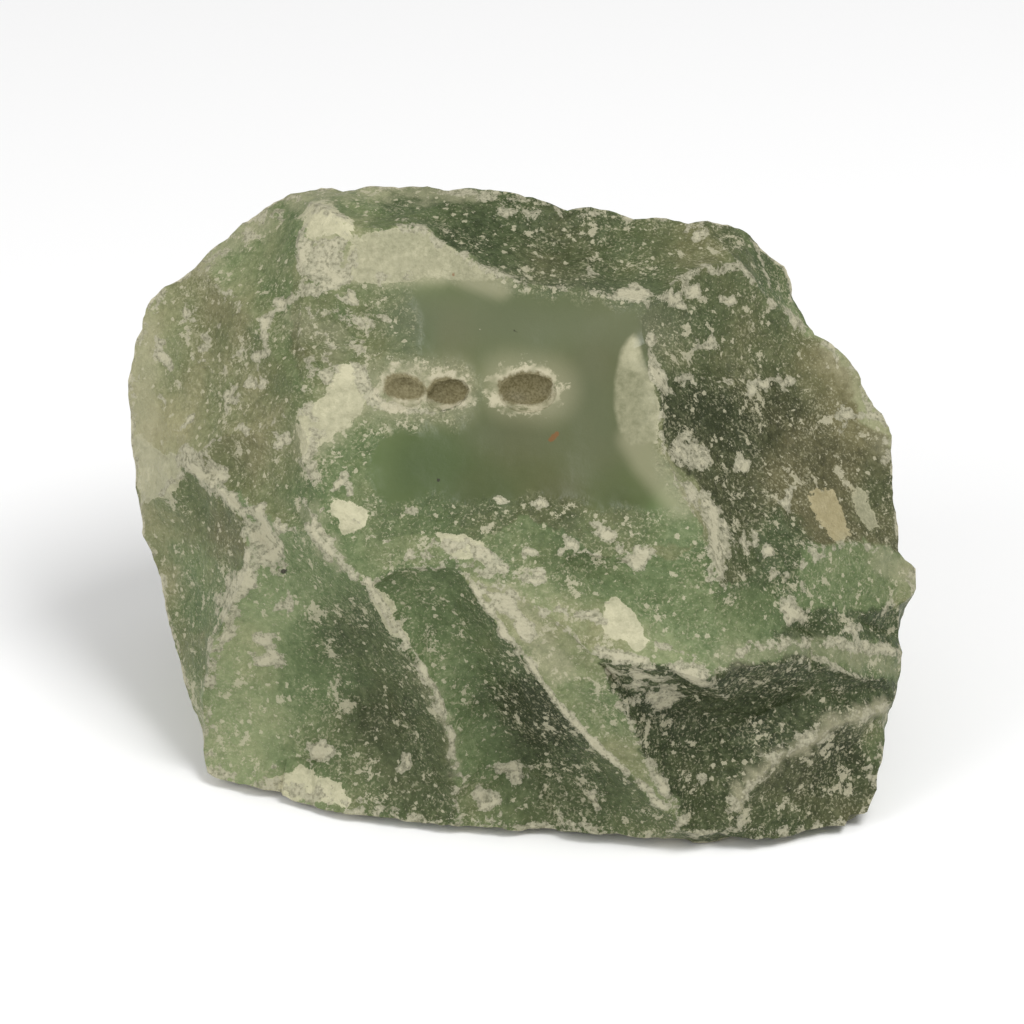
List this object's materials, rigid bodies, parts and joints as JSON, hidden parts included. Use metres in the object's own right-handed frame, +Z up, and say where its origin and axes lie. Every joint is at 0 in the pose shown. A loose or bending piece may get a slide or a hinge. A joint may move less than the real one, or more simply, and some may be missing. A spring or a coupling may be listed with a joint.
{
  "type": "rough green aventurine",
  "caption": "Rough lump of green aventurine with shell-shaped fracture scars, sharp ridges and shallow round pits, lying on a flat spot.",
  "frame": {"origin": "middle of the bounding box in plan, at the height of the flat spot that the stone rests on", "axes": "+X across the stone to the right of the side with the pits, +Y away from that side, +Z up"},
  "size_m": [0.093, 0.0694, 0.0643],
  "materials": {
    "stone": "broken green quartz, waxy in the middle and rough and white-specked elsewhere"
  },
  "bodies": {
    "root": {"aventurine": "stone"}
  },
  "joints": []
}
